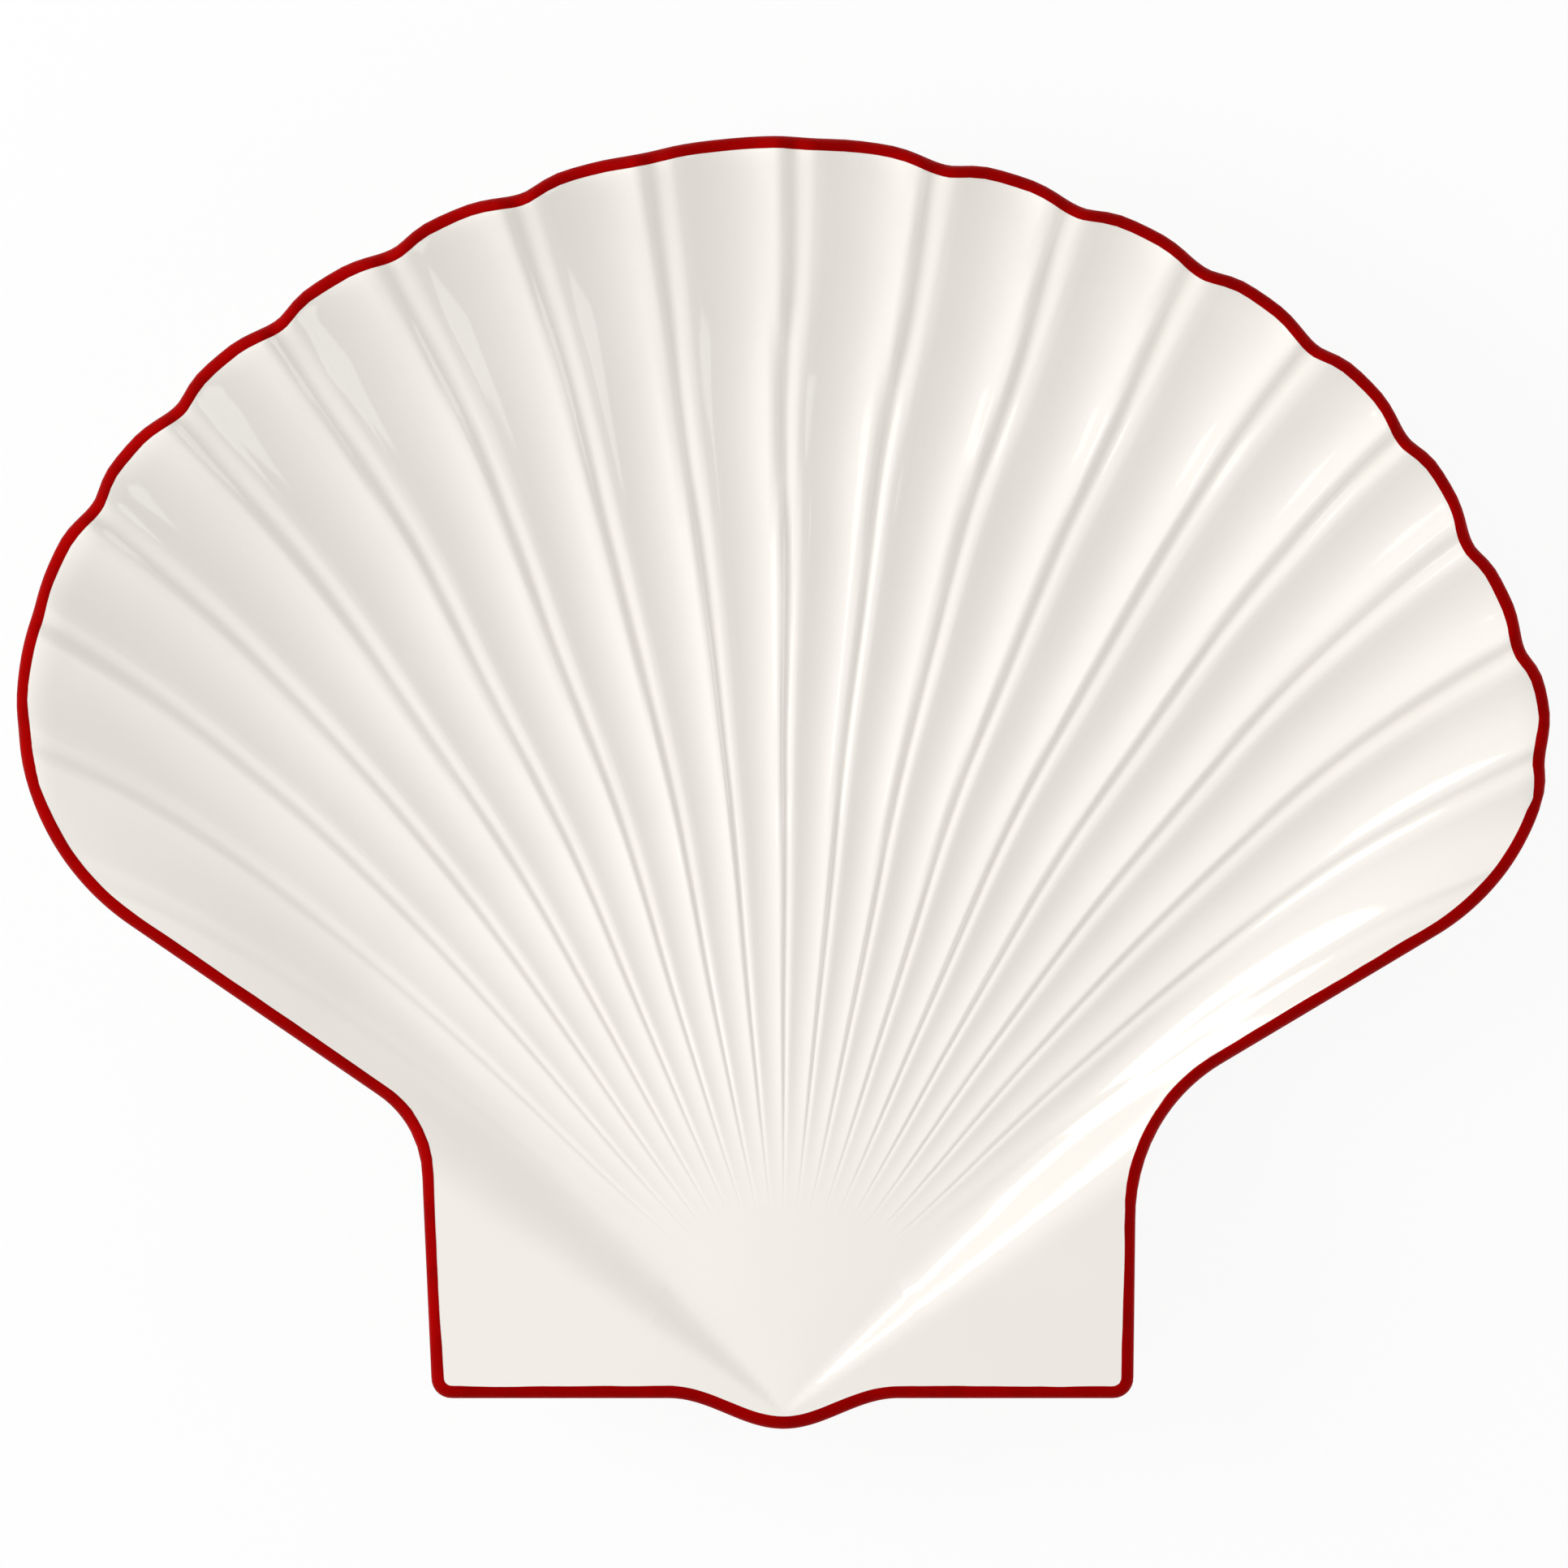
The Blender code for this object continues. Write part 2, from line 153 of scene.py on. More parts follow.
# Oval foot on the underside
BEAK_TO_FOOT = 0.094
FOOT_SEGMENTS = 160
FOOT_EDGE_ROUND = 0.0007
FOOT_FILLET = 0.0012
FOOT_STEPS = 5

# Hand of the maker: ridges wander a little and the hollows differ in depth
WANDER = 0.100
WANDER_SCALE = 26.0
DEPTH_CHANGE = 0.10
DEPTH_SCALE = 19.0

# How far the enamel line runs round the lip on the underside, and how far masks are measured
ENAMEL_UNDER = 0.0011
FAR_FROM_RIM = 0.006

# Glaze: soft clouds, fine grain, creases darkened partly by pooled glaze and partly by painted shade,
# and a few specks
NOISE_MIDDLE = 0.5
CLOUD_SCALE = 22.0
CLOUD_BAND = (0.30, 0.70)
CLOUD_SHADE = 0.972
GRAIN_SCALE = 420.0
GRAIN_DETAIL = 3.0
# Share of the crease darkening, which is partly pooled glaze and partly painted shade
POOLED_AND_SHADE_SHARE = 0.30
SPECK_SCALE = 85.0
SPECK_PICKED = (0.90, 0.91)
SPECK_EDGE = (0.012, 0.026)
SPECK_SHARE = 0.30
SPECK_COLOUR = (0.34, 0.28, 0.20)
GLAZE_ROUGHNESS = 0.07
CLOUD_ROUGHNESS = 0.05
GLAZE_IOR = 1.52
SWELL_SCALE = 70.0
SWELL_HEIGHT = 0.000030
GRAIN_HEIGHT = 0.0000022

# Bare clay, up to a wavy height on the foot
BARE_WAVE = 0.0004
BARE_EDGE = (0.00012, 0.00030)
BARE_ROUGHNESS = 0.62
CLAY_SHADE = 0.80

# Enamel line, brushed on by hand
ENAMEL_WAVE_SCALE = 95.0
ENAMEL_WAVE = 0.00035
ENAMEL_EDGE = (-0.00003, 0.00005)
ENAMEL_SHOULDER = (-0.00020, 0.00030)
ENAMEL_HEIGHT = 0.00006
ENAMEL_ROUGHNESS = 0.45
ENAMEL_SPECULAR = 0.01
BRUSH_SCALE = 240.0
BRUSH_DETAIL = 4.0
BRUSH_BAND = (0.35, 0.70)
BRUSH_SHADE = 0.86

# Studio, with the picture's width measured at the picture's level
FLOOR_SIZE = 16.0
FLOOR_DROP = 0.0002
FLOOR_COLOUR = (0.90, 0.90, 0.90)
FLOOR_ROUGHNESS = 0.9
FLOOR_WHITE = 0.88
WORLD_LIGHT = 0.645
CAMERA_HEIGHT = 3.0
PICTURE_WIDTH = 0.2448
PICTURE_CENTRE = (0.0001, -0.0003)
PICTURE_LEVEL = 0.029
SENSOR = 36.0
LIT_PLACE = (0.0, 0.0, 0.02)
KEY_PLACE = (-0.734, 0.063, 0.444)
KEY_SIZE = (0.70, 0.70)
KEY_POWER = 4.2
SIDE_PLACE = (1.05, -0.10, 0.48)
SIDE_SIZE = (0.50, 0.50)
SIDE_POWER = 1.5
WINDOW_PLACE = (-0.83, 0.83, 0.27)
WINDOW_SIZE = (0.50, 0.36)
WINDOW_POWER = 2.2
GLINT_PLACE = (-0.80, 0.07, 0.62)
GLINT_SIZE = (0.16, 0.16)
GLINT_POWER = 0.18


class ScallopPlateSizes(bpy.types.PropertyGroup):
    """Driving sizes of the plate"""

    width: FloatProperty(
        name="Width",
        description="From wing to wing",
        default=HIGHEST.x - LOWEST.x - WITHIN_SOLID,
        unit="LENGTH",
    )
    length: FloatProperty(
        name="Length",
        description="From the beak to the scalloped rim",
        default=HIGHEST.y - LOWEST.y - WITHIN_SOLID,
        unit="LENGTH",
    )
    height: FloatProperty(
        name="Height",
        description="Height of the rim's smooth curve above the table",
        default=HIGHEST.z - RIM_BELOW_TOP,
        unit="LENGTH",
    )
    wall: FloatProperty(
        name="Wall",
        description="Thickness of the earthenware",
        default=0.0042,
        unit="LENGTH",
    )
    ridges_each_side: IntProperty(
        name="Ridges each side",
        description="Ridges to the left and right of the middle one",
        default=8,
        min=1,
    )
    flute_depth: FloatProperty(
        name="Flute depth",
        description="Depth of a hollow between two ridges at the rim",
        default=0.0033,
        unit="LENGTH",
    )
    crease_depth: FloatProperty(
        name="Crease depth",
        description="Depth of the narrow crease along the top of each ridge at the rim",
        default=0.0013,
        unit="LENGTH",
    )
    foot_length: FloatProperty(
        name="Foot length",
        description="Length of the oval foot across the plate",
        default=0.088,
        unit="LENGTH",
    )
    foot_depth: FloatProperty(
        name="Foot depth",
        description="Size of the oval foot from the beak towards the rim",
        default=0.070,
        unit="LENGTH",
    )
    foot_band: FloatProperty(
        name="Foot band",
        description="Width of the flat band that the plate stands on",
        default=0.0040,
        unit="LENGTH",
    )
    enamel_width: FloatProperty(
        name="Enamel width",
        description="Width of the red line, seen from above",
        default=0.00200,
        unit="LENGTH",
    )


class ScallopPlateFinish(bpy.types.PropertyGroup):
    """Colours of the plate"""

    glaze: FloatVectorProperty(
        name="Glaze",
        description="Off-white glaze where it lies evenly",
        subtype="COLOR",
        default=(0.905, 0.868, 0.812),
        min=0.0,
        max=1.0,
    )
    # Crease colour: partly glaze that gathers in the creases, partly painted shade along them
    pooled_and_shade: FloatVectorProperty(
        name="Pooled glaze and painted shade",
        description="Glaze where it gathers in a crease",
        subtype="COLOR",
        default=(0.72, 0.67, 0.60),
        min=0.0,
        max=1.0,
    )
    enamel: FloatVectorProperty(
        name="Enamel",
        description="Dark red line on the rim",
        subtype="COLOR",
        default=(0.320, 0.0002, 0.0002),
        min=0.0,
        max=1.0,
    )
    biscuit: FloatVectorProperty(
        name="Biscuit",
        description="Bare earthenware on the foot's band",
        subtype="COLOR",
        default=(0.66, 0.56, 0.44),
        min=0.0,
        max=1.0,
    )


def ease(value):
    """Smooth step from 0 to 1, level at both ends."""
    value = min(max(value, 0.0), 1.0)
    return value * value * (3.0 - 2.0 * value)


def bell(value):
    """Round bump of height 1 and half-breadth 1."""
    return math.exp(-value * value)


def across(start, end, share):
    """Plan point between two others."""
    return start[0] + (end[0] - start[0]) * share, start[1] + (end[1] - start[1]) * share


def arc(centre, radius, start, end):
    """Points along an arc, from the start angle to the end angle."""
    points = []
    for step in range(CURVE_STEPS + 1):
        angle = start + (end - start) * step / CURVE_STEPS
        points.append((centre[0] + radius * math.cos(angle), centre[1] + radius * math.sin(angle)))
    return points


def resample(points, shares):
    """Points at the given shares of a polyline's length."""
    lengths = [0.0]
    for first, second in zip(points, points[1:]):
        lengths.append(lengths[-1] + math.dist(first, second))
    result = []
    index = 1
    for share in shares:
        target = share * lengths[-1]
        while index < len(points) - 1 and lengths[index] < target:
            index += 1
        span = lengths[index] - lengths[index - 1]
        part = (target - lengths[index - 1]) / span if span else 0.0
        result.append(across(points[index - 1], points[index], part))
    return result


class PlateForm:
    """Plan and section of the plate, worked out from its sizes."""

    def __init__(self, sizes):
        self.sizes = sizes
        self.half_width = sizes.width / 2.0
        self.beak_y = -sizes.length / 2.0
        self.rim_y = sizes.length / 2.0
        self.widest_y = self.beak_y + BEAK_TO_WIDEST
        self.focus_y = self.beak_y + BEAK_TO_FOCUS
        self.apex_y = self.beak_y + BEAK_TO_BOWL_APEX
        self.hinge_y = self.beak_y + BEAK_REACH
        self.foot_y = self.beak_y + BEAK_TO_FOOT
        self.ear_x = HINGE_WIDTH / 2.0
        self.bowl_depth = sizes.height - FOOT_CLEARANCE - sizes.wall
        self.last_flute = sizes.ridges_each_side + 0.5
        self.calm_flute = self.last_flute + 1.0
        self.fan_reach = self.rim_y - self.focus_y

    def pitch_at(self, radius):
        """Angle from one ridge to the next, which widens towards the rim and in the throat."""
        spread = RIM_SPREAD * self.outward(radius) ** RIM_SPREAD_POWER
        inward = max(CALM_RADIUS - radius, 0.0) / CALM_RADIUS
        return RIDGE_PITCH + spread + THROAT_SPREAD * inward ** 2

    def outward(self, radius):
        """0 within the calm radius, and 1 at the rim over the middle ridge."""
        return max(radius - CALM_RADIUS, 0.0) / (self.fan_reach - CALM_RADIUS)

    def fan_point(self, flute, radius):
        """Plan point on a flute line, counted in pitches from the middle ridge."""
        angle = flute * self.pitch_at(radius) + LEAN * self.outward(radius)
        return radius * math.sin(angle), self.focus_y + radius * math.cos(angle)

    def flute_at(self, x, y):
        """Flute number and distance from the focus of a plan point."""
        radius = math.hypot(x, y - self.focus_y)
        angle = math.atan2(x, y - self.focus_y) - LEAN * self.outward(radius)
        return angle / self.pitch_at(radius), radius

    def side_fade(self, flute):
        """The outer ridges are shallower than those in the middle, and fade at the flanks."""
        return max(1.0 - (abs(flute) / self.calm_flute) ** SIDE_FADE_POWER, 0.0)

    def widest_at(self, x):
        """Y where the outline is widest, which rises smoothly from the right to the left."""
        return self.widest_y + LEFT_WING_RAISE * ease((1.0 - x / self.half_width) / 2.0)

    def reach_at(self, side):
        """Half of the width on one side; the right one makes up for its notch."""
        return self.half_width + (RIGHT_WING_EASE if side > 0.0 else 0.0)

    def wing_size(self, side):
        """Radius of a wing's round end, and the X of its centre as if on the right."""
        radius = RIGHT_WING_RADIUS if side > 0.0 else LEFT_WING_RADIUS
        return radius, self.reach_at(side) - radius

    def rim_level(self, x, y):
        """0 at the middle of the bowl and 1 on the rim's smooth curve, for the fan's part."""
        widest = self.widest_at(x)
        sideways = abs(x) / self.reach_at(x)
        along = max(y - widest, 0.0) / (self.rim_y - widest)
        return sideways ** RIM_SQUARENESS + along ** RIM_SQUARENESS

    def within_rim(self, x, y, inset):
        """Whether a plan point lies inside the rim's smooth curve, moved inwards."""
        widest = self.widest_at(x)
        if y >= widest:
            sideways = abs(x) / (self.reach_at(x) - inset)
            along = (y - widest) / (self.rim_y - widest - inset)
            return sideways ** RIM_SQUARENESS + along ** RIM_SQUARENESS <= 1.0
        wing, wing_x = self.wing_size(x)
        return abs(x) < wing_x or math.hypot(abs(x) - wing_x, y - widest) <= wing - inset

    def notch_at(self, flute):
        """Depth of the rim below its smooth curve: soft notches between leaning lobes."""
        place = ((flute - NOTCH_PLACE) % 1.0) ** LOBE_LEAN
        notch = ((1.0 + math.cos(math.tau * place)) / 2.0) ** NOTCH_SHARPNESS
        notch *= 1.0 - CROWN_CALM * bell(((flute - CROWN_PLACE) / CROWN_BREADTH) ** 2)
        past = (LEFT_CALM_START - flute) / (LEFT_CALM_START - LEFT_CALM_FULL)
        notch *= 1.0 - LEFT_CALM * ease(past)
        shoulder = bell((abs(flute) - SHOULDER_PLACE) / SHOULDER_BREADTH)
        lean = RIGHT_SHOULDER_CUT if flute > 0.0 else -LEFT_SHOULDER_SWELL
        return NOTCH_DEPTH * notch * self.side_fade(flute) + lean * shoulder

    def rim_radius(self, flute, inset):
        """Distance from the focus to the rim along a flute line."""
        inner = THROAT_RADIUS
        outer = self.sizes.width
        for _ in range(HALVINGS):
            middle = (inner + outer) / 2.0
            if self.within_rim(*self.fan_point(flute, middle), inset):
                inner = middle
            else:
                outer = middle
        return inner - self.notch_at(flute)

    def hinge_point(self, x, inset):
        """Plan point on the hinge line, which bulges out into the beak in the middle."""
        bulge = 0.0
        if abs(x) < BEAK_WIDTH / 2.0:
            bulge = BEAK_REACH * math.cos(math.pi * x / BEAK_WIDTH) ** 2
        return x, self.hinge_y - bulge + inset

    def side_curves(self, side, inset):
        """One side of the outline, as if it were the right one: ear edge, ear side and flank."""
        flank_angle = RIGHT_FLANK_ANGLE if side > 0.0 else LEFT_FLANK_ANGLE
        armpit = (RIGHT_ARMPIT_RADIUS if side > 0.0 else LEFT_ARMPIT_RADIUS) + inset
        wing, wing_x = self.wing_size(side)
        wing -= inset
        wing_centre = (wing_x, self.widest_at(side * self.half_width))
        ear_x = self.ear_x - side * EARS_SHIFT - inset
        corner = EAR_CORNER_RADIUS - inset
        slant = RIGHT_EAR_SLANT if side > 0.0 else LEFT_EAR_SLANT
        corner_centre = (ear_x - slant - corner, self.hinge_y + inset + corner)
        diagonal = -math.pi / 4.0
        flank_normal = flank_angle - math.pi / 2.0
        touch_x = wing_centre[0] + wing * math.cos(flank_normal)
        touch_y = wing_centre[1] + wing * math.sin(flank_normal)
        armpit_x = ear_x + armpit
        run = touch_x - armpit_x + armpit * math.cos(flank_normal)
        armpit_y = touch_y - run * math.tan(flank_angle) + armpit * math.sin(flank_normal)
        armpit_centre = (armpit_x, armpit_y)
        half_turn = math.pi - (math.pi / 2.0 - flank_angle) / 2.0
        ear_edge = [self.hinge_point(HINGE_SHARE * self.ear_x, inset)]
        ear_edge += arc(corner_centre, corner, -math.pi / 2.0, diagonal)
        ear_side = arc(corner_centre, corner, diagonal, 0.0)
        ear_side += arc(armpit_centre, armpit, math.pi, half_turn)
        flank = arc(armpit_centre, armpit, half_turn, math.pi / 2.0 + flank_angle)
        flank += arc(wing_centre, wing, flank_normal, WING_CORNER_ANGLE)
        return ear_edge, ear_side, flank

    def row_shares(self):
        """Shares of the way up a column at each row, the throat's rows first."""
        quarter = math.pi / 2.0
        throat = [1.0 - math.cos(quarter * row / THROAT_ROWS) for row in range(THROAT_ROWS)]
        fan = []
        for row in range(FAN_ROWS + 1):
            share = row / FAN_ROWS
            fan.append(share * (1.0 + ROW_CROWDING * (1.0 - share)))
        return throat, fan

    def fan_column(self, flute, inset):
        """Plan points of a column that follows a flute line, from the hinge line to the rim."""
        throat, fan = self.row_shares()
        start = self.hinge_point(flute / self.last_flute * HINGE_SHARE * self.ear_x, inset)
        joint = self.fan_point(flute, THROAT_RADIUS)
        points = [across(start, joint, share) for share in throat]
        reach = self.rim_radius(flute, inset) - THROAT_RADIUS
        points += [self.fan_point(flute, THROAT_RADIUS + reach * share) for share in fan]
        return points

    def edge_columns(self, side, inset):
        """Columns from the last flute to one edge of the plan, worked out as if on the right."""
        throat, fan = self.row_shares()
        ear_edge, ear_side, flank = self.side_curves(side, inset)
        inner = [(side * x, y) for x, y in self.fan_column(side * self.last_flute, inset)]
        outer = resample(ear_side, throat) + resample(flank, fan)
        quarter = math.pi / 2.0
        shares = [math.sin(quarter * step / EDGE_COLUMNS) for step in range(1, EDGE_COLUMNS + 1)]
        lower = resample(ear_edge, shares)
        wing, wing_x = self.wing_size(side)
        wing_centre = (wing_x, self.widest_at(side * self.half_width))
        start = math.atan2(inner[-1][1] - wing_centre[1], inner[-1][0] - wing_centre[0])
        rim = arc(wing_centre, wing - inset, start, WING_CORNER_ANGLE)
        columns = []
        for share, low, high in zip(shares, lower, resample(rim, shares)):
            low_place = across(inner[0], outer[0], share)
            high_place = across(inner[-1], outer[-1], share)
            column = []
            for row, (left, right) in enumerate(zip(inner, outer)):
                height = row / (len(inner) - 1)
                low_weight = (1.0 - height) ** LOW_BLEND_POWER
                high_weight = height ** HIGH_BLEND_POWER
                x, y = across(left, right, share)
                x += (low[0] - low_place[0]) * low_weight + (high[0] - high_place[0]) * high_weight
                y += (low[1] - low_place[1]) * low_weight + (high[1] - high_place[1]) * high_weight
                column.append((side * x, y))
            columns.append(column)
        return columns

    def plan_grid(self, inset):
        """All columns from left to right, crowded where the creases and beads are."""
        steps = int(self.last_flute) * COLUMNS_PER_PITCH
        half_column = 0.5 / COLUMNS_PER_PITCH
        flutes = []
        for step in range(-steps - COLUMNS_PER_PITCH, steps + COLUMNS_PER_PITCH + 1):
            place = step / COLUMNS_PER_PITCH
            turn = math.tau * (place - CROWDED_PLACE)
            flute = place - COLUMN_CROWDING / math.tau * math.sin(turn)
            if abs(flute) < self.last_flute - half_column:
                flutes.append(flute)
        flutes = [-self.last_flute] + flutes + [self.last_flute]
        left = self.edge_columns(-1.0, inset)
        right = self.edge_columns(1.0, inset)
        return left[::-1] + [self.fan_column(flute, inset) for flute in flutes] + right

    def section(self, flute, radius):
        """Height across one pitch: a creased ridge, then a round hollow to the next ridge."""
        place = (flute - RIDGE_START) % 1.0
        breadth = RIDGE_END - RIDGE_START
        hollow_depth = self.sizes.flute_depth * (radius / self.fan_reach) ** HOLLOW_POWER
        if place < breadth:
            across_ridge = math.sin(math.pi * (place / breadth) ** CREASE_LEAN) ** 2
            return hollow_depth - self.sizes.crease_depth * across_ridge * radius / self.fan_reach
        middle = (1.0 + breadth) / 2.0
        across_hollow = (place - middle) / (1.0 - middle)
        return hollow_depth * across_hollow * across_hollow

    def wandering_flute(self, x, y):
        """Flute number and radius of a plan point, with the wander of hand-made ridges."""
        flute, radius = self.flute_at(x, y)
        return flute + WANDER * noise.noise(Vector((x, y, 0.0)) * WANDER_SCALE), radius

    def strength(self, flute, radius):
        """Full strength of the flutes in the fan, and none in the throat and at the flanks."""
        return ease((radius - FLUTE_START) / (FLUTE_FULL - FLUTE_START)) * self.side_fade(flute)

    def flute_relief(self, x, y):
        """Height that the flutes add to the bowl, softened where a ridge meets a hollow."""
        flute, radius = self.wandering_flute(x, y)
        total = 0.0
        for step in SOFT_STEPS:
            total += self.section(flute + step * RIDGE_SOFTNESS, radius)
        depth = 1.0 + DEPTH_CHANGE * noise.noise(Vector((x, y, 1.0)) * DEPTH_SCALE)
        return total / len(SOFT_STEPS) * depth * self.strength(flute, radius)

    def crease_mask(self, x, y):
        """1 at the bottom of a crease and 0 away from it."""
        flute, radius = self.wandering_flute(x, y)
        gap = (flute - RIDGE_MIDDLE + 0.5) % 1.0 - 0.5
        narrow = CREASE_NARROWNESS * gap / (RIDGE_END - RIDGE_START)
        return bell(narrow) * self.strength(flute, radius)

    def underside_relief(self, x, y):
        """The underside follows the flutes as round ribs."""
        flute, radius = self.flute_at(x, y)
        rib = (1.0 + math.cos(math.tau * (flute - RIDGE_MIDDLE))) / 2.0
        strength = self.strength(flute, radius) * (radius / self.fan_reach) ** HOLLOW_POWER
        return UNDERSIDE_FLUTE_DEPTH * rib * strength

    def bowl_height(self, x, y):
        """Height of the upper face without its flutes."""
        radius = math.hypot(x, y - self.apex_y)
        angle = abs(math.atan2(x, y - self.apex_y))
        side = ease((BOWL_HALF_ANGLE - angle) / (BOWL_HALF_ANGLE - WELL_HALF_ANGLE))
        side *= 1.0 - SIDE_RISE * (angle / BOWL_HALF_ANGLE) ** 2
        throat = 1.0 - (1.0 - min(radius / THROAT_RUN, 1.0)) ** THROAT_POWER
        level = self.rim_level(x, y) ** (1.0 / RIM_SQUARENESS)
        rise = max(level - WELL_SHARE, 0.0) / (1.0 - WELL_SHARE)
        wall = max(1.0 - rise ** RIM_RISE_POWER, 0.0)
        roll = max(level - ROLL_START, 0.0) / (1.0 - ROLL_START)
        return self.sizes.height - self.bowl_depth * side * throat * wall - ROLL_DROP * roll * roll

    def upper_height(self, x, y):
        """Height of the upper face."""
        return self.bowl_height(x, y) + self.flute_relief(x, y)

    def lower_height(self, x, y):
        """Height of the underside, a wall's thickness below along the bowl's normal."""
        step = self.sizes.wall
        slope_x = (self.bowl_height(x + step, y) - self.bowl_height(x - step, y)) / (2.0 * step)
        slope_y = (self.bowl_height(x, y + step) - self.bowl_height(x, y - step)) / (2.0 * step)
        drop = self.sizes.wall * math.sqrt(1.0 + slope_x ** 2 + slope_y ** 2)
        return self.bowl_height(x, y) - drop + self.underside_relief(x, y)


def lay_sheet(mesh, place, grid, height):
    """Lay a fine sheet over the plan grid at the given height, and return its vertices."""
    columns = len(grid) - 1
    rows = len(grid[0]) - 1
    half = 0.5
    made = bmesh.ops.create_grid(mesh, x_segments=columns, y_segments=rows, size=half)
    for vert in made["verts"]:
        column = round((vert.co.x + half) * columns)
        row = round((vert.co.y + half) * rows)
        vert[place] = (column, row, 0.0)
        x, y = grid[column][row]
        vert.co = (x, y, height(x, y))
    return made["verts"]


def roll_lip(mesh, place, form, grid, outline):
    """Extrude the sheet's edge round the lip, down to the underside's edge."""
    edge = [item for item in mesh.edges if item.is_boundary]
    for step in range(1, LIP_STEPS + 1):
        grown = bmesh.ops.extrude_edge_only(mesh, edges=edge)["geom"]
        edge = [item for item in grown if isinstance(item, bmesh.types.BMEdge) and item.is_boundary]
        turn = math.pi * step / LIP_STEPS
        for vert in grown:
            if not isinstance(vert, bmesh.types.BMVert):
                continue
            column, row = round(vert[place][0]), round(vert[place][1])
            x, y = grid[column][row]
            top = form.upper_height(x, y)
            bottom = form.lower_height(x, y)
            x, y = across(grid[column][row], outline[column][row], math.sin(turn))
            vert.co = (x, y, (top + bottom) / 2.0 + (top - bottom) / 2.0 * math.cos(turn))


def finish_piece(mesh, name):
    """Turn a bmesh into a smooth object of the scene, with its place in its mesh."""
    bmesh.ops.recalc_face_normals(mesh, faces=mesh.faces)
    data = bpy.data.meshes.new(name)
    mesh.to_mesh(data)
    mesh.free()
    data.shade_smooth()
    item = bpy.data.objects.new(name, data)
    bpy.context.scene.collection.objects.link(item)
    return item


class PLATE_OT_model_body(bpy.types.Operator):
    """Model the glazed body: the fluted upper face, the rounded lip and the underside"""

    bl_idname = "plate.model_body"
    bl_label = "Model the body"

    def execute(self, context):
        form = PlateForm(context.scene.plate_sizes)
        grid = form.plan_grid(LIP_ROUND)
        outline = form.plan_grid(0.0)
        mesh = bmesh.new()
        place = mesh.verts.layers.float_vector.new("grid_place")
        lay_sheet(mesh, place, grid, form.upper_height)
        roll_lip(mesh, place, form, grid, outline)
        lay_sheet(mesh, place, grid, form.lower_height)
        bmesh.ops.remove_doubles(mesh, verts=mesh.verts, dist=WELD)
        mesh.verts.layers.float_vector.remove(place)
        finish_piece(mesh, "plate_body")
        return {"FINISHED"}


def foot_profile(form):
    """Section of the foot from the outside in: (offset, height, below the underside or not)."""
    quarter = math.pi / 2.0
    turns = [quarter * step / FOOT_STEPS for step in range(FOOT_STEPS + 1)]
    sunk = (FOOT_FILLET, -form.sizes.wall / 2.0, True)
    fillet = []
    corner = []
    for turn in turns:
        falling = 1.0 - math.sin(turn)
        rising = 1.0 - math.cos(turn)
        fillet.append((FOOT_FILLET * falling, FOOT_FILLET * rising, True))
        corner.append((-FOOT_EDGE_ROUND * rising, FOOT_EDGE_ROUND * falling, False))
    outside = [sunk] + fillet + corner
    inside = [(-form.sizes.foot_band - offset, height, hangs) for offset, height, hangs in outside]
    return outside + inside[::-1]


class PLATE_OT_model_foot(bpy.types.Operator):
    """Model the oval foot and join it to the underside of the body"""

    bl_idname = "plate.model_foot"
    bl_label = "Model the foot"

    def execute(self, context):
        form = PlateForm(context.scene.plate_sizes)
        mesh = bmesh.new()
        turn_layer = mesh.verts.layers.float.new("turn")
        made = bmesh.ops.create_circle(mesh, segments=FOOT_SEGMENTS, radius=1.0)
        for vert in made["verts"]:
            vert[turn_layer] = math.atan2(vert.co.y, vert.co.x)
        profile = foot_profile(form)
        loop = made["verts"]
        edge = list(mesh.edges)
        for index, (offset, height, hangs) in enumerate(profile + profile[:1]):
            if index:
                grown = bmesh.ops.extrude_edge_only(mesh, edges=edge)["geom"]
                loop = [item for item in grown if isinstance(item, bmesh.types.BMVert)]
                edge = [e for e in grown if isinstance(e, bmesh.types.BMEdge) and e.is_boundary]
            for vert in loop:
                x = (form.sizes.foot_length / 2.0 + offset) * math.cos(vert[turn_layer])
                y = form.foot_y + (form.sizes.foot_depth / 2.0 + offset) * math.sin(vert[turn_layer])
                z = form.lower_height(x, y) - height if hangs else height
                vert.co = (x, y, z)
        bmesh.ops.remove_doubles(mesh, verts=mesh.verts, dist=WELD)
        mesh.verts.layers.float.remove(turn_layer)
        foot = finish_piece(mesh, "foot_ring")
        body = bpy.data.objects["plate_body"]
        join = body.modifiers.new("foot_join", "BOOLEAN")
        join.operation = "UNION"
        join.object = foot
        graph = context.evaluated_depsgraph_get()
        joined = bpy.data.meshes.new_from_object(body.evaluated_get(graph))
        body.modifiers.remove(join)
        body.data = joined
        bpy.data.objects.remove(foot)
        return {"FINISHED"}


